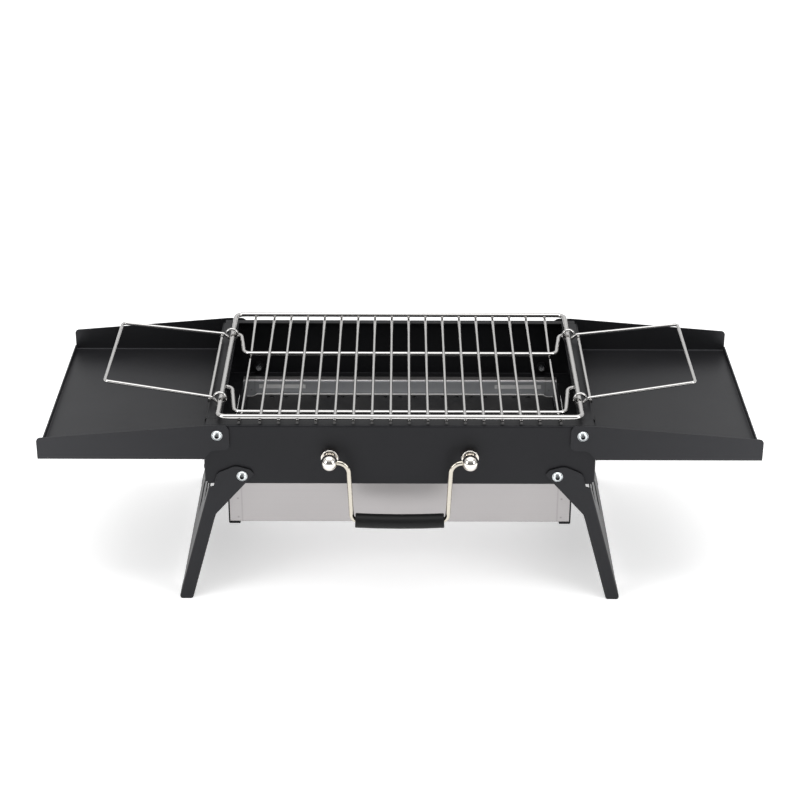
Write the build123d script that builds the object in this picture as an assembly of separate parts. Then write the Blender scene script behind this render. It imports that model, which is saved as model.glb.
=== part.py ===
from build123d import *
import math
import os

# A folding camp grill, in millimetres.
# X runs to the right, Y to the back, Z up. The sub-parts are drawn about the middle of the body,
# then set back so that the origin is on the ground under the middle of the whole grill.

# Body: four bent sheets round the firebox
BODY_HALF_LENGTH = 198.0
BODY_HALF_DEPTH = 130.0
BODY_BOTTOM = 135.5
BODY_RIM = 202.5
SHEET = 1.2
BEND = 2.2
FRONT_LIP = 15.7
BACK_LIP = 10.0
END_LIP = 18.0
HANGER_FLANGE = 24.0
END_FLANGE = 19.8
CORNER_TAB = 28.0
CORNER_RELIEF = 3.0

# Trays and legs turn on screws, outside the front and back walls
WASHER = 0.7
WASHER_RADIUS = 6.0
SIDE_GAP = 0.9
ARM_INNER = BODY_HALF_DEPTH + SIDE_GAP
ARM_OUTER = ARM_INNER + SHEET

TRAY_PIVOT_X = 183.6
TRAY_PIVOT_Z = 192.3
TRAY_FLOOR = 164.0
TRAY_END_X = 365.7
TRAY_START_X = 198.8
TRAY_END_HEIGHT = 24.3
TRAY_EAR_TOP = 203.4
TRAY_EAR_X = 171.5
TRAY_EAR_BOTTOM = 175.6
TRAY_CREST_AHEAD = 8.0
TRAY_HEEL_AHEAD = 6.0
TRAY_HEEL_DROP = 0.6
TRAY_ROUNDS = [0.4, 0.4, 4.5, 20.0, 7.0, 6.0, 8.0]
TRAY_BEND = 2.5
TRAY_FLANGE_FROM = 6.0
TRAY_LIP_X = 366.3
TRAY_LIP_HEIGHT = 6.5
TRAY_LIP_HALF = 129.4
TRAY_LIP_BEND = 3.5

LEG_PIVOT_X = 159.85
LEG_PIVOT_Z = 146.1
LEG_SPLAY = 15.3
LEG_WEB = 29.6
LEG_STRIP_INNER = 15.5
LEG_WEB_TOP = 21.0
LEG_NECK = 50.5
LEG_WEB_BOTTOM = 148.6
LEG_NOTCH_BOTTOM = 55.6
LEG_NOTCH_HALF = 107.0
LEG_SLOT_HALF = 44.0
LEG_SLOT = (88.6, 106.6)
LEG_EAR_TOP = 9.0
LEG_EAR_TIP = (-11.3, 5.0)
LEG_EAR_SHOULDER = -6.0
LEG_EAR_BREAK = 9.5
LEG_EAR_OUTER = (25.2, -4.0)
LEG_EAR_HEEL_RISE = 1.5
LEG_EAR_ROUNDS = [3.0, 4.0, 0.3, 0.3, 0.3, 0.3, 8.0, 10.0, 4.5]
LEG_JOIN = 5.0
LEG_STOCK = 170.0
LEG_RETURN = 10.0
FOOT_PAD = 23.0
FOOT_ROUND = 3.0

# Pan and charcoal plate
PAN_HALF_LENGTH = 176.2
PAN_HALF_DEPTH = 105.5
PAN_BOTTOM = 77.0
PAN_RIM_FLANGE = 8.5
PAN_CAP_TAB = 12.0
PAN_CAP_SHEET = 1.6
PLATE_HALF_LENGTH = 172.0
PLATE_HALF_DEPTH = 102.5
PLATE_TOP = 123.6
PLATE_SHEET = 1.0
VENT_PITCH = 16.0
VENT_RADIUS = 2.2
VENT_ROW_Y = 94.0
VENTS_EACH_WAY = 9
FINGER_NOTCH_RADIUS = 7.0
FINGER_NOTCH_X = 168.5
PLATE_BEND = 2.0
PLATE_LEG_WIDTH = 20.0
PLATE_SKIRT = 12.0

# Cooking grate, of welded wire
GRATE_Z = 209.5
BORDER_WIRE = 5.0
GRATE_HALF_LENGTH = 183.0
GRATE_FRONT_Y = -124.3
GRATE_BACK_Y = 127.3
GRATE_CORNER = 8.0
ROD_WIRE = 3.0
ROD_PITCH = 18.73
ROD_COUNT = 16
END_ROD_X = 161.5
ROD_FRONT_END = -129.2
ROD_BACK_END = 130.2
DIP_FRONT = (-115.0, -106.0)
DIP_BACK = (55.0, 122.0)
DIP_BEND = 3.0
BEARER_WIRE = 4.4
BEARER_STEP_X = 174.5
BEARER_RUN_X = 168.5
BEARER_END_X = 184.8
BEARER_BEND = 8.0
FRONT_BEARER = (-98.5, -47.0)
REAR_BEARER = (41.5, 84.0)
WELD_GAP = 0.05
ROD_Z = GRATE_Z - (BORDER_WIRE + ROD_WIRE) / 2 - WELD_GAP
BEARER_Z = ROD_Z - (ROD_WIRE + BEARER_WIRE) / 2 - WELD_GAP
BEARER_END_Z = GRATE_Z - (BORDER_WIRE + BEARER_WIRE) / 2 - WELD_GAP
END_ROD_Z = BEARER_Z - (ROD_WIRE + BEARER_WIRE) / 2 - WELD_GAP

# Folding grate handles: an eye round the grate's side wire, a knee, an arm and an outer bar
HANDLE_WIRE = 3.3
HANDLE_EYE_RADIUS = 5.6
HANDLE_EYE_OFFSET = (0.94, 0.55)
HANDLE_EYE_TIP = 22.0
HANDLE_EYE_LEAVE = -50.0
HANDLE_KNEE = 7.2
HANDLE_EYES_Y = (-83.0, 73.5)
HANDLE_BARS_Y = (-70.0, 74.0)
HANDLE_BAR_X = 302.5
HANDLE_BAR_Z = 222.7
HANDLE_INNER_BAR_X = 194.7
HANDLE_INNER_BAR_DROP = 3.0
HANDLE_INNER_BAR_OVERHANG = 2.4
HANDLE_CORNER = 4.5

# Carry bail on two ball knobs
KNOB_X = 70.7
KNOB_Z = 169.2
COLLAR_RADIUS = 8.9
COLLAR_LENGTH = 7.5
COLLAR_EDGE_ROUND = 0.8
BALL_RADIUS = 8.4
BALL_Y = -146.4
NECK_RADIUS = 4.6
BAIL_WIRE = 5.0
BAIL_BORE = 5.2
BAIL_END_GAP = 0.3
BAIL_END_X = 68.7
BAIL_SHOULDER_X = 51.8
BAIL_FOOT_X = 48.6
BAIL_DROP = 66.3
BAIL_SAG = 1.4
BAIL_SHOULDER_BEND = 11.5
BAIL_FOOT_BEND = 7.0
BAIL_SAG_BEND = 150.0
GRIP_RADIUS = 7.5
GRIP_HALF_LENGTH = 45.2
GRIP_END_ROUND = 1.0

# Fasteners
SCREW_RADIUS = 3.0
PIVOT_HOLE_RADIUS = 3.06
HEAD_FLANGE_RADIUS = 5.5
HEAD_FLANGE_THICKNESS = 0.8
HEAD_EDGE_ROUND = 0.3
HEAD_DOME_RADIUS = 5.2
HEAD_HEIGHT = 3.6
SOCKET_ACROSS_FLATS = 4.0
SOCKET_DEPTH = 2.4
HEAD_CLEARANCE = 0.15
NUT_ACROSS_FLATS = 10.0
NUT_HEIGHT = 5.0
NUT_CONE = (9.4, 4.9, 6.5)
SCREW_TIP = 8.0
RIVET_Z = 149.0
RIVET_Y = 116.0
RIVET_HEAD_RADIUS = 4.5
RIVET_HEAD_HEIGHT = 2.0
RIVET_SHANK_RADIUS = 2.0
RIVET_TAIL_RADIUS = 3.0
RIVET_TAIL_LENGTH = 1.4
BORE_GAP = 0.02

# The knob balls reach furthest forward and the pivot screw heads furthest back
FURTHEST_FRONT = BALL_RADIUS - BALL_Y
FURTHEST_BACK = ARM_OUTER + HEAD_CLEARANCE + HEAD_HEIGHT
SET_BACK = (FURTHEST_FRONT - FURTHEST_BACK) / 2


# Limits that reach past the whole grill, for cutting zones
WIDE = (-400.0, 400.0)
TALL = 400.0


def box(x, y, z):
    """A box between two limits on each axis."""
    low = (min(x), min(y), min(z))
    size = (max(x) - low[0], max(y) - low[1], max(z) - low[2])
    return Pos(*low) * Box(*size, align=(Align.MIN, Align.MIN, Align.MIN))


def along_y(radius, y_from, y_to, x=0.0, z=0.0):
    """A cylinder along Y."""
    middle = (y_from + y_to) / 2
    return Pos(x, middle, z) * Rot(X=90) * Cylinder(radius, abs(y_to - y_from))


def along_x(radius, x_from, x_to, y=0.0, z=0.0):
    """A cylinder along X."""
    middle = (x_from + x_to) / 2
    return Pos(middle, y, z) * Rot(Y=90) * Cylinder(radius, abs(x_to - x_from))


def arm_span(facing):
    """From inside the front (-1) or back (1) wall to outside the tray and leg plates."""
    return facing * (BODY_HALF_DEPTH - 2 * SHEET), facing * (ARM_OUTER + 2 * SHEET)


def bent_section(points, radii, side, thickness=SHEET):
    """The cross-section of a bent sheet whose outer face follows the points."""
    with BuildSketch() as section:
        with BuildLine():
            FilletPolyline(*points, radius=radii)
            offset(amount=thickness, side=side)
        make_face()
    return section.sketch


def outline(points, radii):
    """A closed flat shape with a rounding at each corner."""
    with BuildSketch() as shape:
        with BuildLine():
            FilletPolyline(*points, radius=radii, close=True)
        make_face()
    return shape.sketch


def prism_xz(sketch, y_from, y_to):
    """A shape drawn in X and Z, drawn out along Y."""
    return Pos(0, max(y_from, y_to), 0) * extrude(Plane.XZ * sketch, abs(y_to - y_from))


def prism_yz(sketch, x_from, x_to):
    """A shape drawn in Y and Z, drawn out along X."""
    return Pos(min(x_from, x_to), 0, 0) * extrude(Plane.YZ * sketch, abs(x_to - x_from))


def wire(points, diameter, bend):
    """A bent round wire."""
    path = FilletPolyline(*points, radius=bend)
    section = Plane(origin=path @ 0, z_dir=path % 0) * Circle(diameter / 2)
    return sweep(section, path=path)


def long_panel(facing, lip):
    """Front (facing -1) or back (facing 1) wall with its lip, hanger flange and corner tabs."""
    face = facing * BODY_HALF_DEPTH
    points = [
        (facing * (BODY_HALF_DEPTH - HANGER_FLANGE), BODY_BOTTOM),
        (face, BODY_BOTTOM),
        (face, BODY_RIM),
        (facing * (BODY_HALF_DEPTH - lip), BODY_RIM),
    ]
    inward = Side.LEFT if facing > 0 else Side.RIGHT
    reach = BODY_HALF_LENGTH - CORNER_RELIEF
    panel = prism_yz(bent_section(points, BEND, inward), -reach, reach)
    tab_end = facing * (BODY_HALF_DEPTH - CORNER_TAB)
    corner = [
        (-BODY_HALF_LENGTH, tab_end),
        (-BODY_HALF_LENGTH, face),
        (BODY_HALF_LENGTH, face),
        (BODY_HALF_LENGTH, tab_end),
    ]
    inward = Side.RIGHT if facing > 0 else Side.LEFT
    height = BODY_RIM - BODY_BOTTOM - 2 * CORNER_RELIEF
    wrap = extrude(bent_section(corner, BEND, inward), height)
    panel += Pos(0, 0, BODY_BOTTOM + CORNER_RELIEF) * wrap
    holes = [(side * TRAY_PIVOT_X, TRAY_PIVOT_Z) for side in (-1, 1)]
    holes += [(side * LEG_PIVOT_X, LEG_PIVOT_Z) for side in (-1, 1)]
    if facing < 0:
        holes += [(side * KNOB_X, KNOB_Z) for side in (-1, 1)]
    for x, z in holes:
        panel -= along_y(SCREW_RADIUS + BORE_GAP, face - 2 * SHEET, face + 2 * SHEET, x, z)
    for side in (-1, 1):
        x = side * BODY_HALF_LENGTH
        panel -= along_x(RIVET_SHANK_RADIUS, x - 2 * SHEET, x + 2 * SHEET, facing * RIVET_Y, RIVET_Z)
    return panel


def end_panel(side):
    """End wall, held inside the corner tabs, with its own lip and bottom flange."""
    face = BODY_HALF_LENGTH - SHEET
    points = [
        (BODY_HALF_LENGTH - END_FLANGE, BODY_BOTTOM),
        (face, BODY_BOTTOM),
        (face, BODY_RIM),
        (BODY_HALF_LENGTH - END_LIP, BODY_RIM),
    ]
    section = bent_section(points, BEND, Side.LEFT)
    lip_front = -BODY_HALF_DEPTH + FRONT_LIP + 0.3
    lip_back = BODY_HALF_DEPTH - BACK_LIP - 0.3
    flange_limit = BODY_HALF_DEPTH - HANGER_FLANGE - 0.3
    middle = BODY_BOTTOM + SHEET + BEND
    upper = box((0, face), (-BODY_HALF_DEPTH, BODY_HALF_DEPTH), (middle, BODY_RIM))
    lower = box((0, face), (-BODY_HALF_DEPTH, BODY_HALF_DEPTH), (BODY_BOTTOM, middle))
    panel = prism_xz(section, lip_front, lip_back) & upper
    panel += prism_xz(section, -flange_limit, flange_limit) & lower
    depth = BODY_HALF_DEPTH - SHEET - 1.2
    panel += box((face - SHEET, face), (-depth, depth), (middle, BODY_RIM - SHEET - BEND))
    for y in (-RIVET_Y, RIVET_Y):
        panel -= along_x(RIVET_SHANK_RADIUS, face - 4, face + 4, y, RIVET_Z)
    return panel if side > 0 else mirror(panel, Plane.YZ)


def rivets():
    """Domed rivets that hold the corner tabs to the end walls."""
    solids = []
    dome_radius = (RIVET_HEAD_RADIUS**2 + RIVET_HEAD_HEIGHT**2) / (2 * RIVET_HEAD_HEIGHT)
    for side in (-1, 1):
        outer = side * BODY_HALF_LENGTH
        inner = side * (BODY_HALF_LENGTH - 2 * SHEET)
        for y in (-RIVET_Y, RIVET_Y):
            centre = outer + side * (RIVET_HEAD_HEIGHT - dome_radius)
            head = Pos(centre, y, RIVET_Z) * Sphere(dome_radius)
            reach = (outer, outer + side * RIVET_HEAD_HEIGHT)
            head &= along_x(RIVET_HEAD_RADIUS, *reach, y, RIVET_Z)
            shank = along_x(RIVET_SHANK_RADIUS, outer, inner, y, RIVET_Z)
            tail = along_x(RIVET_TAIL_RADIUS, inner, inner - side * RIVET_TAIL_LENGTH, y, RIVET_Z)
            solids.append(head + shank + tail)
    return Compound(children=solids)


def tray(side):
    """Side tray: a floor with a front and back flange that end in pivot ears."""
    points = [
        (TRAY_START_X, TRAY_FLOOR),
        (TRAY_END_X, TRAY_FLOOR),
        (TRAY_END_X, TRAY_FLOOR + TRAY_END_HEIGHT),
        (TRAY_PIVOT_X + TRAY_CREST_AHEAD, TRAY_EAR_TOP),
        (TRAY_EAR_X, TRAY_EAR_TOP),
        (TRAY_EAR_X, TRAY_EAR_BOTTOM),
        (TRAY_PIVOT_X + TRAY_HEEL_AHEAD, TRAY_EAR_BOTTOM - TRAY_HEEL_DROP),
    ]
    shape = outline(points, TRAY_ROUNDS)
    channel = [
        (-ARM_OUTER, TRAY_EAR_TOP + 1),
        (-ARM_OUTER, TRAY_FLOOR),
        (ARM_OUTER, TRAY_FLOOR),
        (ARM_OUTER, TRAY_EAR_TOP + 1),
    ]
    body = prism_yz(bent_section(channel, TRAY_BEND, Side.LEFT), TRAY_START_X, TRAY_END_X + 1)
    body &= prism_xz(shape, -ARM_OUTER - 1, ARM_OUTER + 1)
    ear_zone = box((0, TRAY_START_X + 2), WIDE, (TRAY_FLOOR + TRAY_FLANGE_FROM, TALL))
    heel_zone = box((0, TRAY_START_X), WIDE, (0, TALL))
    for facing in (-1, 1):
        flange = prism_xz(shape, facing * ARM_INNER, facing * ARM_OUTER)
        body += flange & ear_zone
        body += flange & heel_zone
        body -= along_y(PIVOT_HOLE_RADIUS, *arm_span(facing), TRAY_PIVOT_X, TRAY_PIVOT_Z)
    lip = [
        (TRAY_START_X, TRAY_FLOOR),
        (TRAY_LIP_X, TRAY_FLOOR),
        (TRAY_LIP_X, TRAY_FLOOR + TRAY_LIP_HEIGHT),
    ]
    lip_zone = box(
        (TRAY_LIP_X - TRAY_LIP_BEND, TRAY_LIP_X + 1),
        (-TRAY_LIP_HALF, TRAY_LIP_HALF),
        (TRAY_FLOOR - 1, TRAY_FLOOR + TRAY_LIP_HEIGHT + 1),
    )
    body -= lip_zone
    body += prism_xz(bent_section(lip, BEND, Side.LEFT), -TRAY_LIP_HALF, TRAY_LIP_HALF) & lip_zone
    return body if side > 0 else mirror(body, Plane.YZ)


def leg_ear():
    """Outline of one leg plate down to its neck, with the pivot at the origin."""
    points = [
        LEG_EAR_TIP,
        (LEG_STRIP_INNER, -LEG_NECK),
        (LEG_STRIP_INNER, -LEG_NECK - LEG_JOIN),
        (LEG_WEB, -LEG_NECK - LEG_JOIN),
        (LEG_WEB, -LEG_WEB_TOP),
        (LEG_EAR_OUTER[0], -LEG_WEB_TOP + LEG_EAR_HEEL_RISE),
        LEG_EAR_OUTER,
        (LEG_EAR_BREAK, LEG_EAR_TOP),
        (LEG_EAR_SHOULDER, LEG_EAR_TOP),
    ]
    return outline(points, LEG_EAR_ROUNDS)


def leg(side):
    """U-shaped leg panel: two pivot plates joined by a web along their outer edge."""
    splay = math.radians(LEG_SPLAY)
    foot_inner = (LEG_PIVOT_Z + LEG_STRIP_INNER * math.sin(splay)) / math.cos(splay)
    foot_outer = (LEG_PIVOT_Z + LEG_WEB * math.sin(splay)) / math.cos(splay)
    return_y = ARM_OUTER - LEG_RETURN
    channel = [
        (LEG_STRIP_INNER, -return_y),
        (LEG_STRIP_INNER, -ARM_OUTER),
        (LEG_WEB, -ARM_OUTER),
        (LEG_WEB, ARM_OUTER),
        (LEG_STRIP_INNER, ARM_OUTER),
        (LEG_STRIP_INNER, return_y),
    ]
    lower = extrude(bent_section(channel, BEND, Side.LEFT), LEG_STOCK - LEG_NECK - 2)
    lower = Pos(0, 0, -LEG_STOCK) * lower
    foot = outline(
        [
            (LEG_STRIP_INNER, -LEG_NECK),
            (LEG_STRIP_INNER, -foot_inner),
            (LEG_WEB, -foot_outer),
            (LEG_WEB, -LEG_NECK),
        ],
        [0.1, FOOT_ROUND, FOOT_ROUND, 0.1],
    )
    lower &= prism_xz(foot, -ARM_OUTER - 1, ARM_OUTER + 1)
    inner = LEG_WEB - 2 * BEND
    web = [(inner, -ARM_OUTER), (LEG_WEB, -ARM_OUTER), (LEG_WEB, ARM_OUTER), (inner, ARM_OUTER)]
    upper = extrude(bent_section(web, BEND, Side.LEFT), LEG_NECK + 3 - LEG_WEB_TOP)
    panel = lower + Pos(0, 0, -LEG_NECK - 3) * upper
    flat = box((-TALL, LEG_WEB - BEND), WIDE, (-LEG_NECK - LEG_JOIN + 1, TALL))
    for facing in (-1, 1):
        panel += prism_xz(leg_ear(), facing * ARM_INNER, facing * ARM_OUTER) & flat
        panel -= along_y(PIVOT_HOLE_RADIUS, *arm_span(facing))
    web_zone = (LEG_WEB - 2 * BEND, LEG_WEB + 1)
    panel -= box(web_zone, (-LEG_NOTCH_HALF, LEG_NOTCH_HALF), (-LEG_NOTCH_BOTTOM, 0))
    pads = ARM_OUTER - FOOT_PAD
    panel -= box(web_zone, (-pads, pads), (-TALL, -LEG_WEB_BOTTOM))
    panel -= box(web_zone, (-LEG_SLOT_HALF, LEG_SLOT_HALF), (-LEG_SLOT[1], -LEG_SLOT[0]))
    panel = Pos(LEG_PIVOT_X, 0, LEG_PIVOT_Z) * Rot(Y=-LEG_SPLAY) * panel
    return panel if side > 0 else mirror(panel, Plane.YZ)


def pan_trough():
    """Long pan that hangs by its rim on the body's bottom flanges."""
    rim = BODY_BOTTOM + 2 * SHEET
    points = [
        (-PAN_HALF_DEPTH - PAN_RIM_FLANGE, rim),
        (-PAN_HALF_DEPTH, rim),
        (-PAN_HALF_DEPTH, PAN_BOTTOM),
        (PAN_HALF_DEPTH, PAN_BOTTOM),
        (PAN_HALF_DEPTH, rim),
        (PAN_HALF_DEPTH + PAN_RIM_FLANGE, rim),
    ]
    radii = [1.2, BEND, BEND, 1.2]
    section = bent_section(points, radii, Side.LEFT)
    return prism_yz(section, -PAN_HALF_LENGTH, PAN_HALF_LENGTH)


def pan_end(side):
    """End of the pan, with a tab folded under the trough."""
    outer = PAN_HALF_LENGTH + PAN_CAP_SHEET
    points = [
        (outer, BODY_BOTTOM + SHEET),
        (outer, PAN_BOTTOM - PAN_CAP_SHEET),
        (outer - PAN_CAP_TAB, PAN_BOTTOM - PAN_CAP_SHEET),
    ]
    section = bent_section(points, PAN_CAP_SHEET + 0.01, Side.RIGHT, PAN_CAP_SHEET)
    cap = prism_xz(section, -PAN_HALF_DEPTH, PAN_HALF_DEPTH)
    return cap if side > 0 else mirror(cap, Plane.YZ)


def charcoal_plate():
    """Vented plate that stands on its own ends above the pan's floor."""
    floor = PAN_BOTTOM + SHEET
    points = [
        (-PLATE_HALF_LENGTH, floor),
        (-PLATE_HALF_LENGTH, PLATE_TOP),
        (PLATE_HALF_LENGTH, PLATE_TOP),
        (PLATE_HALF_LENGTH, floor),
    ]
    section = bent_section(points, PLATE_BEND, Side.RIGHT, PLATE_SHEET)
    plate = prism_xz(section, -PLATE_HALF_DEPTH, PLATE_HALF_DEPTH)
    window = PLATE_HALF_DEPTH - PLATE_LEG_WIDTH
    plate -= box(WIDE, (-window, window), (floor - 1, PLATE_TOP - PLATE_SKIRT))
    columns = [i * VENT_PITCH for i in range(-VENTS_EACH_WAY, VENTS_EACH_WAY + 1)]
    vents = [(x, y) for x in columns for y in (-VENT_ROW_Y, VENT_ROW_Y)]
    drills = [Pos(x, y, PLATE_TOP) * Cylinder(VENT_RADIUS, 6) for x, y in vents]
    for x in (-FINGER_NOTCH_X, FINGER_NOTCH_X):
        for y in (-PLATE_HALF_DEPTH, PLATE_HALF_DEPTH):
            drills.append(Pos(x, y, PLATE_TOP) * Cylinder(FINGER_NOTCH_RADIUS, 6))
    return plate - drills


def grate_border():
    """Closed wire frame of the cooking grate."""
    middle_y = (GRATE_FRONT_Y + GRATE_BACK_Y) / 2
    size = (2 * GRATE_HALF_LENGTH, GRATE_BACK_Y - GRATE_FRONT_Y)
    loop = RectangleRounded(*size, GRATE_CORNER).wire()
    section = Plane(origin=loop @ 0, z_dir=loop % 0) * Circle(BORDER_WIRE / 2)
    return Pos(0, middle_y, GRATE_Z) * sweep(section, path=loop)


def grate_rods():
    """Straight rods under the border, and one dipped rod at each end under the bearers."""
    rods = []
    for i in range(ROD_COUNT):
        x = (i - (ROD_COUNT - 1) / 2) * ROD_PITCH
        rods.append(along_y(ROD_WIRE / 2, ROD_FRONT_END, ROD_BACK_END, x, ROD_Z))
    for x in (-END_ROD_X, END_ROD_X):
        path = [
            (x, ROD_FRONT_END, ROD_Z),
            (x, DIP_FRONT[0], ROD_Z),
            (x, DIP_FRONT[1], END_ROD_Z),
            (x, DIP_BACK[0], END_ROD_Z),
            (x, DIP_BACK[1], ROD_Z),
            (x, ROD_BACK_END, ROD_Z),
        ]
        rods.append(wire(path, ROD_WIRE, DIP_BEND))
    return Compound(children=rods)


def grate_bearer(y, end_y):
    """Cross wire with stepped ends that carry the grate on the body's end lips."""
    half = [
        (BEARER_END_X, end_y, BEARER_END_Z),
        (BEARER_STEP_X, end_y, BEARER_END_Z),
        (BEARER_RUN_X, y, BEARER_Z),
    ]
    other = [(-x, at_y, z) for x, at_y, z in reversed(half)]
    return wire(half + other, BEARER_WIRE, BEARER_BEND)


def handle_eye(eye_y, bar_y):
    """One arm's eye round the grate's side wire, and the knee where the arm begins."""
    centre = Vector(GRATE_HALF_LENGTH + HANDLE_EYE_OFFSET[0], eye_y, GRATE_Z + HANDLE_EYE_OFFSET[1])
    level = Vector(HANDLE_BAR_X - centre.X, bar_y - eye_y, 0)
    plane = Plane(origin=centre, x_dir=level, z_dir=level.cross(Vector(0, 0, 1)))
    turn = HANDLE_EYE_LEAVE + 360 - HANDLE_EYE_TIP
    eye = plane * CenterArc((0, 0), HANDLE_EYE_RADIUS, HANDLE_EYE_TIP - 360, turn)
    knee = eye @ 1 + (eye % 1) * HANDLE_KNEE
    return eye, knee


def grate_handle(side):
    """Wire handle hinged on a side wire of the grate."""
    front_eye, front_knee = handle_eye(HANDLE_EYES_Y[0], HANDLE_BARS_Y[0])
    back_eye, back_knee = handle_eye(HANDLE_EYES_Y[1], HANDLE_BARS_Y[1])
    corners = [(HANDLE_BAR_X, y, HANDLE_BAR_Z) for y in HANDLE_BARS_Y]
    points = [front_eye @ 1, front_knee, *corners, back_knee, back_eye @ 1]
    loop = FilletPolyline(*points, radius=HANDLE_CORNER)
    path = Wire([*front_eye.edges(), *loop.edges(), *back_eye.edges()])
    section = Plane(origin=path @ 0, z_dir=path % 0) * Circle(HANDLE_WIRE / 2)
    handle = sweep(section, path=path)
    share = (HANDLE_INNER_BAR_X - front_knee.X) / (HANDLE_BAR_X - front_knee.X)
    bar_z = front_knee.Z + share * (HANDLE_BAR_Z - front_knee.Z) - HANDLE_INNER_BAR_DROP
    ends = (HANDLE_EYES_Y[0] - HANDLE_INNER_BAR_OVERHANG, HANDLE_EYES_Y[1] + HANDLE_INNER_BAR_OVERHANG)
    handle += along_y(HANDLE_WIRE / 2, *ends, HANDLE_INNER_BAR_X, bar_z)
    return handle if side > 0 else mirror(handle, Plane.YZ)


def knob_collar(side):
    """Short collar between the front wall and the ball."""
    wall = -BODY_HALF_DEPTH
    collar = along_y(COLLAR_RADIUS, wall, wall - COLLAR_LENGTH, side * KNOB_X, KNOB_Z)
    collar = fillet(collar.edges().filter_by(GeomType.CIRCLE), COLLAR_EDGE_ROUND)
    return collar - along_y(SCREW_RADIUS + BORE_GAP, wall + 1, BALL_Y, side * KNOB_X, KNOB_Z)


def knob_ball(side):
    """Ball with its stud, and a cross bore for the bail's end."""
    back = -BODY_HALF_DEPTH - COLLAR_LENGTH
    stud_end = -BODY_HALF_DEPTH + SHEET + SCREW_TIP
    ball = Pos(KNOB_X, BALL_Y, KNOB_Z) * Rot(X=90) * Sphere(BALL_RADIUS)
    ball += along_y(NECK_RADIUS, BALL_Y, back, KNOB_X, KNOB_Z)
    ball += along_y(SCREW_RADIUS, BALL_Y, stud_end, KNOB_X, KNOB_Z)
    ball -= along_x(BAIL_BORE / 2, BAIL_END_X + BAIL_END_GAP, KNOB_X - 2 * BALL_RADIUS, BALL_Y, KNOB_Z)
    return ball if side > 0 else mirror(ball, Plane.YZ)


def grip_run():
    """Points of the bail's lower run, a little bowed, from the middle to the right foot."""
    low = KNOB_Z - BAIL_DROP
    half = BAIL_FOOT_X / 2
    return [(half, BALL_Y, low - 0.75 * BAIL_SAG), (BAIL_FOOT_X, BALL_Y, low)]


def carry_bail():
    """Wire bail that hangs between the two balls."""
    run = grip_run()
    half = [*run, (BAIL_SHOULDER_X, BALL_Y, KNOB_Z), (BAIL_END_X, BALL_Y, KNOB_Z)]
    other = [(-x, y, z) for x, y, z in reversed(half)]
    middle = (0, BALL_Y, KNOB_Z - BAIL_DROP - BAIL_SAG)
    bends = [BAIL_SHOULDER_BEND, BAIL_FOOT_BEND, BAIL_SAG_BEND]
    return wire([*other, middle, *half], BAIL_WIRE, [*bends, BAIL_SAG_BEND, *reversed(bends)])


def carry_grip():
    """Moulded grip round the bail's lower run."""
    run = grip_run()
    slope = (run[1][2] - run[0][2]) / (run[1][0] - run[0][0])
    end_z = run[0][2] + slope * (GRIP_HALF_LENGTH - run[0][0])
    half = [run[0], (GRIP_HALF_LENGTH, BALL_Y, end_z)]
    other = [(-x, y, z) for x, y, z in reversed(half)]
    middle = (0, BALL_Y, KNOB_Z - BAIL_DROP - BAIL_SAG)
    grip = wire([*other, middle, *half], 2 * GRIP_RADIUS, BAIL_SAG_BEND)
    ends = grip.faces().filter_by(GeomType.PLANE).edges()
    grip = fillet(ends, GRIP_END_ROUND)
    return grip - carry_bail()


def hex_nut(radius=SCREW_RADIUS):
    """A nut on the Z axis, with its seat at the origin."""
    blank = RegularPolygon(NUT_ACROSS_FLATS / 2, 6, major_radius=False)
    nut = extrude(blank, NUT_HEIGHT)
    nut &= Cone(*NUT_CONE, align=(Align.CENTER, Align.CENTER, Align.MIN))
    return nut - Cylinder(radius, 4 * NUT_HEIGHT)


def button_screw():
    """Flanged button-head screw on the Z axis: the head up, its seat at the origin."""
    rise = HEAD_HEIGHT - HEAD_FLANGE_THICKNESS
    dome_radius = (HEAD_DOME_RADIUS**2 + rise**2) / (2 * rise)
    flange = Pos(0, 0, HEAD_FLANGE_THICKNESS / 2) * Cylinder(HEAD_FLANGE_RADIUS, HEAD_FLANGE_THICKNESS)
    flange = fillet(flange.edges().filter_by(GeomType.CIRCLE), HEAD_EDGE_ROUND)
    dome = Pos(0, 0, HEAD_HEIGHT - dome_radius) * Sphere(dome_radius)
    dome &= Pos(0, 0, HEAD_HEIGHT / 2) * Cylinder(HEAD_DOME_RADIUS, HEAD_HEIGHT)
    socket = extrude(RegularPolygon(SOCKET_ACROSS_FLATS / 2, 6, major_radius=False), SOCKET_DEPTH)
    length = SHEET + SIDE_GAP + HEAD_CLEARANCE + SHEET + SCREW_TIP
    shank = Pos(0, 0, -length / 2) * Cylinder(SCREW_RADIUS, length)
    return flange + dome + shank - Pos(0, 0, HEAD_HEIGHT - SOCKET_DEPTH + 0.01) * socket


def at_pivots(piece, x, z, distance, outward):
    """The same piece at the four places of a pivot, on the front and back walls."""
    copies = []
    for facing in (-1, 1):
        turn = 90 if facing * outward < 0 else -90
        for side in (-1, 1):
            place = Pos(side * x, facing * distance, z) * Rot(X=turn)
            copies.append(place * copy_of(piece))
    return Compound(children=copies)


def copy_of(piece):
    """An independent copy of a solid."""
    return Pos(0, 0, 0) * piece


def washer():
    """A flat washer on the Z axis, from its seat at the origin."""
    ring = Pos(0, 0, WASHER / 2) * Cylinder(WASHER_RADIUS, WASHER)
    return ring - Cylinder(SCREW_RADIUS + BORE_GAP, 4 * WASHER)


def knob_nuts():
    """Nuts that hold the two knobs from inside the front wall."""
    inside = -BODY_HALF_DEPTH + SHEET
    places = [Pos(side * KNOB_X, inside, KNOB_Z) * Rot(X=-90) for side in (-1, 1)]
    return Compound(children=[place * hex_nut() for place in places])


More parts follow.
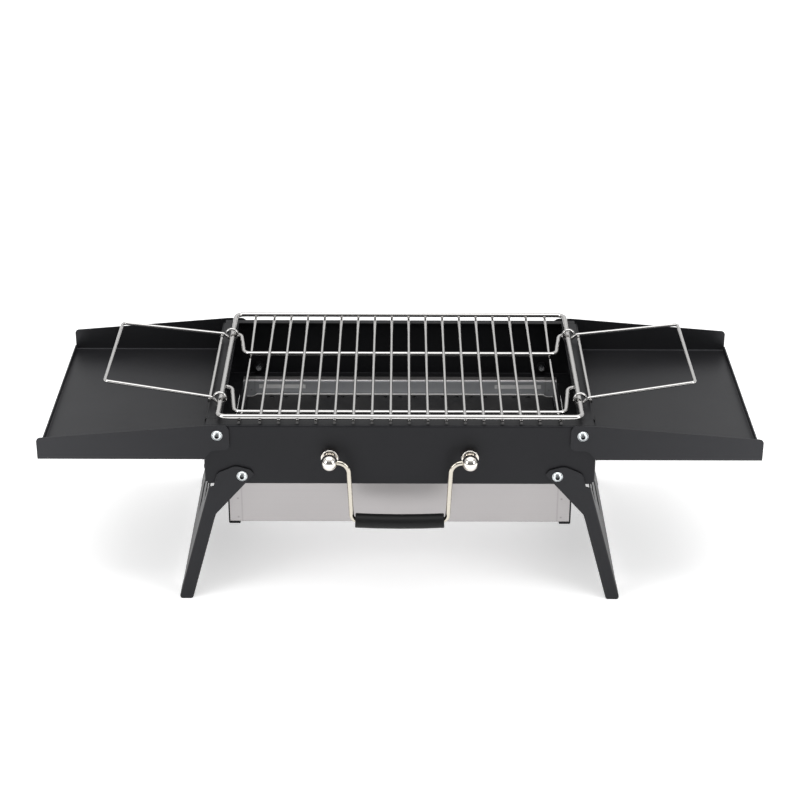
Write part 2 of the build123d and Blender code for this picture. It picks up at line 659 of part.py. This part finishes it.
def build_all():
    """Every sub-part, by node name."""
    head_seat = ARM_OUTER + HEAD_CLEARANCE
    inside = BODY_HALF_DEPTH - SHEET
    tray_at = (TRAY_PIVOT_X, TRAY_PIVOT_Z)
    leg_at = (LEG_PIVOT_X, LEG_PIVOT_Z)
    nodes = {
        "front_panel": long_panel(-1, FRONT_LIP),
        "back_panel": long_panel(1, BACK_LIP),
        "corner_rivets": rivets(),
        "pan_trough": pan_trough(),
        "charcoal_plate": charcoal_plate(),
        "grate_border": grate_border(),
        "grate_rods": grate_rods(),
        "grate_bearer_front": grate_bearer(*FRONT_BEARER),
        "grate_bearer_rear": grate_bearer(*REAR_BEARER),
        "carry_bail": carry_bail(),
        "carry_grip": carry_grip(),
        "knob_nuts": knob_nuts(),
        "tray_pivot_screws": at_pivots(button_screw(), *tray_at, head_seat, 1),
        "leg_pivot_screws": at_pivots(button_screw(), *leg_at, head_seat, 1),
        "tray_pivot_nuts": at_pivots(hex_nut(), *tray_at, inside, -1),
        "leg_pivot_nuts": at_pivots(hex_nut(), *leg_at, inside, -1),
        "tray_pivot_washers": at_pivots(washer(), *tray_at, BODY_HALF_DEPTH, 1),
        "leg_pivot_washers": at_pivots(washer(), *leg_at, BODY_HALF_DEPTH, 1),
    }
    for side, name in ((-1, "left"), (1, "right")):
        nodes["end_panel_" + name] = end_panel(side)
        nodes["tray_" + name] = tray(side)
        nodes["leg_" + name] = leg(side)
        nodes["pan_end_" + name] = pan_end(side)
        nodes["grate_handle_" + name] = grate_handle(side)
        nodes["knob_collar_" + name] = knob_collar(side)
        nodes["knob_ball_" + name] = knob_ball(side)
    return nodes


os.makedirs("parts", exist_ok=True)
for node, shape in build_all().items():
    solids = [Pos(0, SET_BACK, 0) * solid for solid in shape.solids()]
    export_step(Compound(children=solids), f"parts/{node}.step")
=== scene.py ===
import math
import bmesh
import bpy
from mathutils import Matrix, Vector


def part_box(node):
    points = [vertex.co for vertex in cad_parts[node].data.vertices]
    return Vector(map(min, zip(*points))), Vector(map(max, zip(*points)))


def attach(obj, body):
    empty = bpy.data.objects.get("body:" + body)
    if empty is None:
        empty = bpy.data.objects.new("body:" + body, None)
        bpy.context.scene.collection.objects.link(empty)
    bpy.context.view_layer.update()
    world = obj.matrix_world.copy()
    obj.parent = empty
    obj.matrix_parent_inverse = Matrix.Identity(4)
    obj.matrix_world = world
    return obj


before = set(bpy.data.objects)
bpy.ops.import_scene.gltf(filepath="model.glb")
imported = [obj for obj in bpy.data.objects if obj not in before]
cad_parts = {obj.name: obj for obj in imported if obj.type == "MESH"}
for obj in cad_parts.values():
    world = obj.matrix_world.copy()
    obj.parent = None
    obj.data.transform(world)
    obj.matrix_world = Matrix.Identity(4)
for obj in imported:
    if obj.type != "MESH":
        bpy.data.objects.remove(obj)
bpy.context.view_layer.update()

# ---------------------------------------------------------------- camera, stage (metres, degrees)
CENTRE_Y = (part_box("front_panel")[0][1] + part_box("back_panel")[1][1]) / 2
CAMERA_BACK = 1.8557
CAMERA_HEIGHT = 1.0918
CAMERA_PITCH = 26.5
CAMERA_ROLL = 0.15
CAMERA_REACH = 50.0
FOCAL_IN_WIDTHS = 2.423
SENSOR = 36.0
WORLD_STRENGTH = 0.9
FLOOR_GLOW = 0.47
FLOOR_SIZE = 60.0
TOP_BOX_BACK = -0.2
TOP_BOX_HEIGHT = 1.9
TOP_BOX_TARGET = 0.1
TOP_BOX_SIZE = (2.2, 1.2)
TOP_BOX_POWER = 16.0
SIDE_BOX_ASIDE = 1.5
SIDE_BOX_BACK = -1.1
SIDE_BOX_HEIGHT = 0.95
SIDE_BOX_TARGET = 0.15
SIDE_BOX_SIZE = (0.8, 1.1)
SIDE_BOX_POWER = 10.0

# ---------------------------------------------------------------- places on the grill (metres)
# The middle of the body in Y; the whole grill, with its knobs and grip, is centred on 0.
SET_BACK = 0.009475

# The specular level of the powder coat grows over this stretch of X, out along the trays.
TRAY_REACH = (0.19, 0.36)
TRAY_PIVOT = (0.1836, 0.1923)
LEG_PIVOT = (0.15985, 0.1461)
SOCKET_RADIUS = 0.00235
SOCKET_EDGE = (0.96, 1.04)
SOCKET_FRONT = (0.1285, 0.1300)

# Pan: a crease and three spot welds near each end, and a painted reflection, a white band, on the
# inside.
CREASE_X = 0.1635
CREASE_WIDTH = 0.0012
WELD_X = 0.1675
WELD_HEIGHTS = (0.083, 0.105, 0.127)
WELD_WIDTH = 0.0016
# Where the painted reflection, a white band, lies on the pan's inside.
PAN_REFLECTION_X = (0.106, 0.159)
PAN_REFLECTION_Z = (0.1286, 0.1342)
PAN_REFLECTION_EDGE = 0.0008
PAN_INSIDE_Y = (0.02, 0.09)
PAN_BACK_Y = SET_BACK + 0.1055
PAN_BACK_EDGE = (0.0009, 0.0005)

# Charcoal plate: its back edge and the rims of its finger notches get a painted highlight, a bright
# line.
PLATE_BACK_Y = SET_BACK + 0.1025
PLATE_EDGE_WIDTH = 0.0042
NOTCH_X = 0.1685
NOTCH_RADIUS = 0.007
NOTCH_RIM_WIDTH = 0.0014

# Grate: rods along Y, welded on the border wire and on two bearers.
ROD_MIDDLE_Y = SET_BACK + 0.0005
ROD_HALF_LENGTH = 0.1297
ROD_PITCH = 0.01873
ROD_COUNT = 16
ROD_RADIUS = 0.0015
# The painted shade on the rods' ends starts this far from each end and is full at the second.
ROD_END_EDGE = (0.0042, 0.0028)
BORDER_Z = 0.2095
BORDER_RADIUS = 0.0025
BORDER_SIDES_Y = (SET_BACK - 0.1243, SET_BACK + 0.1273)
BEARER_SIDES_Y = (SET_BACK - 0.0985, SET_BACK + 0.0415)
GRATE_WELD_SIZE = (0.0019, 0.0017, 0.0009)
HANDLE_WELD_X = 0.1947
HANDLE_WELDS_Y = (SET_BACK - 0.0818, SET_BACK + 0.07355)
HANDLE_WELD_Z = 0.20908
HANDLE_WELD_SIZE = (0.0019, 0.0021, 0.0012)

# ---------------------------------------------------------------- strengths of marks, painted highlight and painted shade (0 to 1)
PLATE_HIGHLIGHT_SHARE = 0.9
PAN_MARKS_SHARE = 0.35
ROD_END_SHADE_SHARE = 0.92
SOCKET_SHADE_SHARE = 0.9

# A spot weld's strength and the streaks' depth, where the crease counts as 1.
SPOT_STRENGTH = 2.5
STREAK_DEPTH = 0.012

# Plated wire: how dark its marks are, and how far its roughness goes either way.
WIRE_MARKS_SHARE = 0.93
WIRE_ROUGHNESS_RANGE = (0.8, 1.3)

# Weld nuggets: the least size and what is added to the largest.
NUGGET_LEAST = 0.9
NUGGET_SPREAD = 0.2

# ---------------------------------------------------------------- colours (linear)
WHITE = (1.0, 1.0, 1.0)
ROOM_GREY = (0.22, 0.22, 0.22)
FLOOR_COLOUR = (0.86, 0.86, 0.86)
COAT_COLOURS = ((0.0095, 0.0095, 0.0105), (0.0122, 0.0122, 0.0132))
COAT_GLINT = (0.93, 0.94, 1.0)
PLATE_COLOURS = ((0.010, 0.010, 0.011), (0.022, 0.021, 0.021))
# Colour of the painted highlight on the charcoal plate's back edge and notch rims.
PLATE_EDGE_HIGHLIGHT = (0.85, 0.84, 0.82)
PAN_COLOURS = ((0.402, 0.386, 0.387), (0.418, 0.402, 0.403))
PAN_INSIDE = (0.42, 0.43, 0.45)
PAN_MARKS = (0.22, 0.21, 0.21)
WIRE_TINT = (0.63, 0.62, 0.61)
NICKEL_TINT = (0.56, 0.525, 0.455)
KNOB_TINT = (0.80, 0.765, 0.72)
# Painted shade on the grate rods' protruding ends.
ROD_END_SHADE = (0.012, 0.012, 0.013)
ZINC_COLOURS = ((0.62, 0.66, 0.68), (0.74, 0.77, 0.78))
# Painted shade down the pivot screws' key sockets.
SOCKET_SHADE = (0.03, 0.031, 0.033)
RUBBER_COLOURS = ((0.004, 0.004, 0.0044), (0.007, 0.007, 0.0074))


# ---------------------------------------------------------------- node helpers
def new_material(name):
    """An empty node material with a Principled shader wired to its output."""
    material = bpy.data.materials.new(name)
    material.use_nodes = True
    tree = material.node_tree
    tree.nodes.clear()
    shader = tree.nodes.new("ShaderNodeBsdfPrincipled")
    output = tree.nodes.new("ShaderNodeOutputMaterial")
    tree.links.new(shader.outputs["BSDF"], output.inputs["Surface"])
    return material, tree, shader


def object_points(tree, scale=(1.0, 1.0, 1.0)):
    """Object coordinates, in metres, stretched by scale."""
    coordinates = tree.nodes.new("ShaderNodeTexCoord")
    mapping = tree.nodes.new("ShaderNodeMapping")
    mapping.inputs["Scale"].default_value = scale
    tree.links.new(coordinates.outputs["Object"], mapping.inputs["Vector"])
    return mapping.outputs["Vector"]


def axes(tree, vector):
    """The X, Y and Z of a vector."""
    parts = tree.nodes.new("ShaderNodeSeparateXYZ")
    tree.links.new(vector, parts.inputs["Vector"])
    return parts.outputs["X"], parts.outputs["Y"], parts.outputs["Z"]


def noise(tree, vector, scale, detail=2.0, roughness=0.5):
    """A noise pattern's factor."""
    node = tree.nodes.new("ShaderNodeTexNoise")
    node.inputs["Scale"].default_value = scale
    node.inputs["Detail"].default_value = detail
    node.inputs["Roughness"].default_value = roughness
    tree.links.new(vector, node.inputs["Vector"])
    return node.outputs["Fac"]


def ramp_value(tree, factor, low, high, start=0.3, stop=0.7):
    """factor from start to stop becomes a number from low to high."""
    node = tree.nodes.new("ShaderNodeMapRange")
    node.inputs["From Min"].default_value = start
    node.inputs["From Max"].default_value = stop
    node.inputs["To Min"].default_value = low
    node.inputs["To Max"].default_value = high
    tree.links.new(factor, node.inputs["Value"])
    return node.outputs["Result"]


def ramp_colour(tree, factor, colours, start=0.3, stop=0.7):
    """factor from start to stop becomes a colour from the first to the second."""
    node = tree.nodes.new("ShaderNodeValToRGB")
    for element, place, colour in zip(node.color_ramp.elements, (start, stop), colours):
        element.position = place
        element.color = (*colour, 1.0)
    tree.links.new(factor, node.inputs["Fac"])
    return node.outputs["Color"]


def shaded(tree, colour, factor, shade):
    """A colour turned by a factor towards a shade, which is a colour's numbers or a socket."""
    node = tree.nodes.new("ShaderNodeMix")
    node.data_type = "RGBA"
    if isinstance(shade, tuple):
        node.inputs["B"].default_value = (*shade, 1.0)
    else:
        tree.links.new(shade, node.inputs["B"])
    tree.links.new(factor, node.inputs["Factor"])
    tree.links.new(colour, node.inputs["A"])
    return node.outputs["Result"]


def bump(tree, height, strength, distance):
    """A bump normal from a height."""
    node = tree.nodes.new("ShaderNodeBump")
    node.inputs["Strength"].default_value = strength
    node.inputs["Distance"].default_value = distance
    tree.links.new(height, node.inputs["Height"])
    return node.outputs["Normal"]


def mix_numbers(tree, a, b, operation="ADD"):
    """Two numbers combined."""
    node = tree.nodes.new("ShaderNodeMath")
    node.operation = operation
    for socket, value in zip(node.inputs, (a, b)):
        if isinstance(value, float):
            socket.default_value = value
        else:
            tree.links.new(value, socket)
    return node.outputs["Value"]


def size_of(tree, value):
    """A number without its sign."""
    return mix_numbers(tree, value, 0.0, "ABSOLUTE")


def length_of(tree, a, b):
    """The length of a vector with two parts."""
    squares = [mix_numbers(tree, part, part, "MULTIPLY") for part in (a, b)]
    return mix_numbers(tree, mix_numbers(tree, *squares), 0.5, "POWER")


def near_number(tree, value, centre, width):
    """1 where value is at centre, falling to 0 at width away."""
    away = size_of(tree, mix_numbers(tree, value, centre, "SUBTRACT"))
    return ramp_value(tree, away, 1.0, 0.0, 0.0, width)


def between(tree, value, low, high):
    """1 where value lies between low and high, with a narrow soft edge."""
    up = ramp_value(tree, value, 0.0, 1.0, low, low + PAN_REFLECTION_EDGE)
    down = ramp_value(tree, value, 1.0, 0.0, high - PAN_REFLECTION_EDGE, high)
    return mix_numbers(tree, up, down, "MULTIPLY")


# ---------------------------------------------------------------- materials
def powder_coat(name, near_sheen, far_sheen):
    """Satin black powder coat with a fine grain; its specular level grows along the trays."""
    material, tree, shader = new_material(name)
    points = object_points(tree)
    grain = noise(tree, points, scale=1500.0, detail=3.0, roughness=0.6)
    patches = noise(tree, points, scale=14.0, detail=3.0)
    colour = ramp_colour(tree, patches, COAT_COLOURS)
    tree.links.new(colour, shader.inputs["Base Color"])
    fine = ramp_value(tree, grain, low=0.38, high=0.48)
    broad = ramp_value(tree, patches, low=-0.03, high=0.03)
    tree.links.new(mix_numbers(tree, fine, broad), shader.inputs["Roughness"])
    relief = bump(tree, grain, strength=0.35, distance=0.00012)
    tree.links.new(relief, shader.inputs["Normal"])
    along = size_of(tree, axes(tree, points)[0])
    sheen = ramp_value(tree, along, near_sheen, far_sheen, *TRAY_REACH)
    tree.links.new(sheen, shader.inputs["Specular IOR Level"])
    shader.inputs["Specular Tint"].default_value = (*COAT_GLINT, 1.0)
    return material


def charcoal_plate_coat():
    """Matt dark, scuffed coating of the charcoal plate, with a painted highlight along its back
    edge and notch rims.
    """
    material, tree, shader = new_material("dark_heat_coating")
    points = object_points(tree)
    grain = noise(tree, points, scale=1200.0, detail=3.0, roughness=0.6)
    scuffs = noise(tree, points, scale=60.0, detail=6.0, roughness=0.65)
    colour = ramp_colour(tree, scuffs, PLATE_COLOURS, start=0.35, stop=0.75)
    x, y, _ = axes(tree, points)
    across = mix_numbers(tree, size_of(tree, x), NOTCH_X, "SUBTRACT")
    back = mix_numbers(tree, y, PLATE_BACK_Y, "SUBTRACT")
    rim = near_number(tree, length_of(tree, across, back), NOTCH_RADIUS, NOTCH_RIM_WIDTH)
    edge = near_number(tree, back, 0.0, PLATE_EDGE_WIDTH)
    # Painted highlight: a bright line along the plate's back edge and round its notch rims.
    painted_highlight = mix_numbers(tree, edge, rim, "MAXIMUM")
    painted_highlight = mix_numbers(tree, painted_highlight, PLATE_HIGHLIGHT_SHARE, "MULTIPLY")
    tree.links.new(shaded(tree, colour, painted_highlight, PLATE_EDGE_HIGHLIGHT), shader.inputs["Base Color"])
    rough = ramp_value(tree, scuffs, low=0.42, high=0.62)
    tree.links.new(rough, shader.inputs["Roughness"])
    relief = bump(tree, grain, strength=0.3, distance=0.0001)
    tree.links.new(relief, shader.inputs["Normal"])
    return material


def brushed_steel():
    """Stainless sheet of the pan: a fine grain along X, duller inside with a painted reflection
    there, marked near its ends.
    """
    material, tree, shader = new_material("bright_stainless_sheet")
    points = object_points(tree)
    drawn_out = object_points(tree, scale=(2.0, 900.0, 900.0))
    streaks = noise(tree, drawn_out, scale=1.0, detail=4.0, roughness=0.6)
    clouds = noise(tree, points, scale=9.0, detail=3.0)
    x, y, z = axes(tree, points)
    along = size_of(tree, x)

    # The crease and the spot welds near each end.
    marks = near_number(tree, along, CREASE_X, CREASE_WIDTH)
    weld_column = near_number(tree, along, WELD_X, WELD_WIDTH)
    for height in WELD_HEIGHTS:
        weld_row = near_number(tree, z, height, WELD_WIDTH)
        spot = mix_numbers(tree, weld_column, weld_row, "MULTIPLY")
        spot = mix_numbers(tree, spot, SPOT_STRENGTH, "MULTIPLY")
        marks = mix_numbers(tree, marks, spot, "MAXIMUM")

    # 1 towards the back of the pan's inside, 0 at its front and on its outside.
    behind = ramp_value(tree, y, 0.0, 1.0, *PAN_INSIDE_Y)
    before_back = ramp_value(tree, y, 1.0, 0.0, *(PAN_BACK_Y - edge for edge in PAN_BACK_EDGE))
    inside = mix_numbers(tree, behind, before_back, "MULTIPLY")

    outer = ramp_colour(tree, streaks, PAN_COLOURS, start=0.25, stop=0.75)
    # Painted reflection: a white band across the back of the pan's inside.
    painted_reflection = mix_numbers(
        tree, between(tree, along, *PAN_REFLECTION_X), between(tree, z, *PAN_REFLECTION_Z), "MULTIPLY"
    )
    inner = ramp_colour(tree, painted_reflection, (PAN_INSIDE, WHITE), start=0.0, stop=1.0)
    colour = shaded(tree, outer, inside, inner)
    marked = mix_numbers(tree, marks, PAN_MARKS_SHARE, "MULTIPLY")
    colour = shaded(tree, colour, marked, PAN_MARKS)
    tree.links.new(colour, shader.inputs["Base Color"])
    metal = ramp_value(tree, inside, low=1.0, high=0.2, start=0.0, stop=1.0)
    tree.links.new(metal, shader.inputs["Metallic"])
    fine = ramp_value(tree, streaks, low=0.45, high=0.48)
    broad = ramp_value(tree, clouds, low=-0.02, high=0.03)
    tree.links.new(mix_numbers(tree, fine, broad), shader.inputs["Roughness"])
    height = mix_numbers(tree, streaks, STREAK_DEPTH, "MULTIPLY")
    height = mix_numbers(tree, height, marks, "SUBTRACT")
    relief = bump(tree, height, strength=0.12, distance=0.0003)
    tree.links.new(relief, shader.inputs["Normal"])
    return material


def plated_wire(name, tint, roughness, shaded_ends=False):
    """Bright plated wire with faint drawing marks; the grate rods' protruding ends are darkened by
    a painted shade, for the dark they reflect.
    """
    material, tree, shader = new_material(name)
    points = object_points(tree)
    marks = noise(tree, points, scale=500.0, detail=3.0, roughness=0.55)
    darker = tuple(channel * WIRE_MARKS_SHARE for channel in tint)
    colour = ramp_colour(tree, marks, (darker, tint))
    if shaded_ends:
        # Painted shade: the rods' ends beyond the border are darkened, standing in for the dark
        # they reflect.
        away = size_of(tree, mix_numbers(tree, axes(tree, points)[1], ROD_MIDDLE_Y, "SUBTRACT"))
        edge = (ROD_HALF_LENGTH - step for step in ROD_END_EDGE)
        end = ramp_value(tree, away, 0.0, ROD_END_SHADE_SHARE, *edge)
        colour = shaded(tree, colour, end, ROD_END_SHADE)
    tree.links.new(colour, shader.inputs["Base Color"])
    shader.inputs["Metallic"].default_value = 1.0
    rough = ramp_value(tree, marks, *(roughness * share for share in WIRE_ROUGHNESS_RANGE))
    tree.links.new(rough, shader.inputs["Roughness"])
    relief = bump(tree, marks, strength=0.06, distance=0.0001)
    tree.links.new(relief, shader.inputs["Normal"])
    return material


def zinc_plate(name, pivot):
    """Bright zinc on the screws, washers and nuts of a pivot, with painted shade down the key
    sockets.
    """
    material, tree, shader = new_material(name)
    points = object_points(tree)
    marks = noise(tree, points, scale=800.0, detail=4.0, roughness=0.6)
    colour = ramp_colour(tree, marks, ZINC_COLOURS)
    x, y, z = axes(tree, points)
    across = mix_numbers(tree, size_of(tree, x), pivot[0], "SUBTRACT")
    up = mix_numbers(tree, z, pivot[1], "SUBTRACT")
    # Painted shade down the key sockets, on the pivots' outer faces only.
    edge = (SOCKET_RADIUS * share for share in SOCKET_EDGE)
    socket = ramp_value(tree, length_of(tree, across, up), SOCKET_SHADE_SHARE, 0.0, *edge)
    away = size_of(tree, mix_numbers(tree, y, SET_BACK, "SUBTRACT"))
    outside = ramp_value(tree, away, 0.0, 1.0, *SOCKET_FRONT)
    socket = mix_numbers(tree, socket, outside, "MULTIPLY")
    tree.links.new(shaded(tree, colour, socket, SOCKET_SHADE), shader.inputs["Base Color"])
    shader.inputs["Metallic"].default_value = 1.0
    tree.links.new(ramp_value(tree, marks, low=0.2, high=0.34), shader.inputs["Roughness"])
    relief = bump(tree, marks, strength=0.1, distance=0.00005)
    tree.links.new(relief, shader.inputs["Normal"])
    return material


def grip_rubber():
    """Matt black moulded rubber."""
    material, tree, shader = new_material("moulded_black_rubber")
    grain = noise(tree, object_points(tree), scale=900.0, detail=3.0, roughness=0.6)
    tree.links.new(ramp_colour(tree, grain, RUBBER_COLOURS), shader.inputs["Base Color"])
    tree.links.new(ramp_value(tree, grain, low=0.42, high=0.55), shader.inputs["Roughness"])
    relief = bump(tree, grain, strength=0.25, distance=0.0001)
    tree.links.new(relief, shader.inputs["Normal"])
    shader.inputs["Specular IOR Level"].default_value = 0.22
    return material


def floor_material():
    """Plain pale studio floor."""
    material, _, shader = new_material("pale_studio_floor")
    shader.inputs["Base Color"].default_value = (*FLOOR_COLOUR, 1.0)
    shader.inputs["Roughness"].default_value = 0.75
    shader.inputs["Emission Color"].default_value = (*WHITE, 1.0)
    shader.inputs["Emission Strength"].default_value = FLOOR_GLOW
    return material


# ---------------------------------------------------------------- CAD nodes get their materials
def paint_nodes():
    """Each CAD node gets the material of the first row that fits; returns the wire's, for welds."""
    body_coat = powder_coat("satin_black_body_coat", near_sheen=0.21, far_sheen=0.23)
    wire = plated_wire("bright_plated_wire", WIRE_TINT, roughness=0.09)
    rows = (
        ("pan_trough", brushed_steel()),
        ("charcoal_plate", charcoal_plate_coat()),
        ("grate_rods", plated_wire("bright_plated_rod", WIRE_TINT, 0.09, shaded_ends=True)),
        ("grate_", wire),
        ("carry_bail", plated_wire("warm_nickel_wire", NICKEL_TINT, roughness=0.10)),
        ("carry_grip", grip_rubber()),
        ("knob_nuts", body_coat),
        ("knob_", plated_wire("polished_nickel_knob", KNOB_TINT, roughness=0.06)),
        ("tray_pivot_nuts", body_coat),
        ("tray_pivot", zinc_plate("bright_zinc_at_tray_pivots", TRAY_PIVOT)),
        ("tray_", powder_coat("satin_black_tray_coat", near_sheen=0.29, far_sheen=0.46)),
        ("leg_pivot_nuts", body_coat),
        ("leg_pivot", zinc_plate("bright_zinc_at_leg_pivots", LEG_PIVOT)),
        ("leg_", powder_coat("satin_black_leg_coat", near_sheen=0.28, far_sheen=0.3)),
        ("", body_coat),
    )
    for name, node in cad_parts.items():
        material = next(look for start, look in rows if name.startswith(start))
        for slot in node.material_slots:
            slot.material = material
    return wire


# ---------------------------------------------------------------- added detail
def weld_beads(name, places, size, material):
    """Small rounded weld nuggets that differ a little in size, as one mesh piece in metres."""
    shape = bmesh.new()
    for index, place in enumerate(places):
        grow = NUGGET_LEAST + NUGGET_SPREAD * ((index * 7) % 5) / 4
        scale = Matrix.Diagonal((size[0] * grow, size[1] * grow, size[2], 1.0))
        matrix = Matrix.Translation(place) @ scale
        bmesh.ops.create_icosphere(shape, subdivisions=2, radius=1.0, matrix=matrix)
    mesh = bpy.data.meshes.new(name)
    for face in shape.faces:
        face.smooth = True
    shape.to_mesh(mesh)
    shape.free()
    mesh.materials.append(material)
    piece = bpy.data.objects.new(name, mesh)
    bpy.context.collection.objects.link(piece)
    return piece


def grate_welds(material):
    """Weld nuggets where the rods cross the border and the bearers."""
    columns = [(i - (ROD_COUNT - 1) / 2) * ROD_PITCH for i in range(ROD_COUNT)]
    border_z = BORDER_Z - BORDER_RADIUS
    bearer_z = BORDER_Z - BORDER_RADIUS - 2 * ROD_RADIUS
    places = [(x, y, border_z) for x in columns for y in BORDER_SIDES_Y]
    places += [(x, y, bearer_z) for x in columns for y in BEARER_SIDES_Y]
    return weld_beads("grate_weld_nuggets", places, GRATE_WELD_SIZE, material)


# ---------------------------------------------------------------- stage
def add_area(name, place, target, size, power):
    """A soft rectangular white light that faces a target."""
    light = bpy.data.lights.new(name, "AREA")
    light.shape = "RECTANGLE"
    light.size = size[0]
    light.size_y = size[1]
    light.energy = power
    holder = bpy.data.objects.new(name, light)
    bpy.context.collection.objects.link(holder)
    holder.location = place
    facing = Vector(target) - Vector(place)
    holder.rotation_euler = facing.to_track_quat("-Z", "Y").to_euler()


def light_world():
    """World light by direction: white behind the grill and overhead, grey elsewhere."""
    world = bpy.data.worlds.new("studio_world")
    bpy.context.scene.world = world
    world.use_nodes = True
    tree = world.node_tree
    background = tree.nodes["Background"]
    background.inputs["Strength"].default_value = WORLD_STRENGTH
    coordinates = tree.nodes.new("ShaderNodeTexCoord")
    _, y, z = axes(tree, coordinates.outputs["Generated"])
    behind = ramp_value(tree, y, low=0.0, high=1.0, start=-0.35, stop=0.25)
    clear = ramp_value(tree, z, low=0.25, high=1.0, start=0.08, stop=0.34)
    above = ramp_value(tree, z, low=0.0, high=1.0, start=0.55, stop=0.85)
    bright = mix_numbers(tree, mix_numbers(tree, behind, clear, "MULTIPLY"), above, "MAXIMUM")
    colour = ramp_colour(tree, bright, (ROOM_GREY, WHITE), start=0.0, stop=1.0)
    tree.links.new(colour, background.inputs["Color"])


def build_stage():
    """Floor, world light and soft boxes."""
    bpy.ops.mesh.primitive_plane_add(size=FLOOR_SIZE, location=(0, 0, 0))
    floor = bpy.context.object
    floor.name = "studio_floor"
    floor.data.materials.append(floor_material())
    light_world()
    place = (0, CENTRE_Y + TOP_BOX_BACK, TOP_BOX_HEIGHT)
    target = (0, CENTRE_Y, TOP_BOX_TARGET)
    add_area("top_soft_box", place, target, TOP_BOX_SIZE, TOP_BOX_POWER)
    target = (0, CENTRE_Y, SIDE_BOX_TARGET)
    for name, side in (("left_soft_box", -1), ("right_soft_box", 1)):
        place = (side * SIDE_BOX_ASIDE, CENTRE_Y + SIDE_BOX_BACK, SIDE_BOX_HEIGHT)
        add_area(name, place, target, SIDE_BOX_SIZE, SIDE_BOX_POWER)


def build_camera():
    """Camera in front of the grill, looking down at it."""
    camera = bpy.data.cameras.new("photo_camera")
    camera.sensor_width = SENSOR
    camera.lens = SENSOR * FOCAL_IN_WIDTHS
    camera.clip_end = CAMERA_REACH
    holder = bpy.data.objects.new("photo_camera", camera)
    bpy.context.collection.objects.link(holder)
    place = Matrix.Translation((0, CENTRE_Y - CAMERA_BACK, CAMERA_HEIGHT))
    pitch = Matrix.Rotation(math.radians(90 - CAMERA_PITCH), 4, "X")
    roll = Matrix.Rotation(math.radians(CAMERA_ROLL), 4, "Z")
    holder.matrix_world = place @ pitch @ roll
    bpy.context.scene.camera = holder


bpy.context.scene.view_settings.view_transform = "Standard"
build_camera()
build_stage()
wire = paint_nodes()
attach(grate_welds(wire), "grate")
for side, name in ((-1, "left"), (1, "right")):
    places = [(side * HANDLE_WELD_X, y, HANDLE_WELD_Z) for y in HANDLE_WELDS_Y]
    beads = weld_beads("handle_" + name + "_weld_beads", places, HANDLE_WELD_SIZE, wire)
    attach(beads, "handle_" + name)
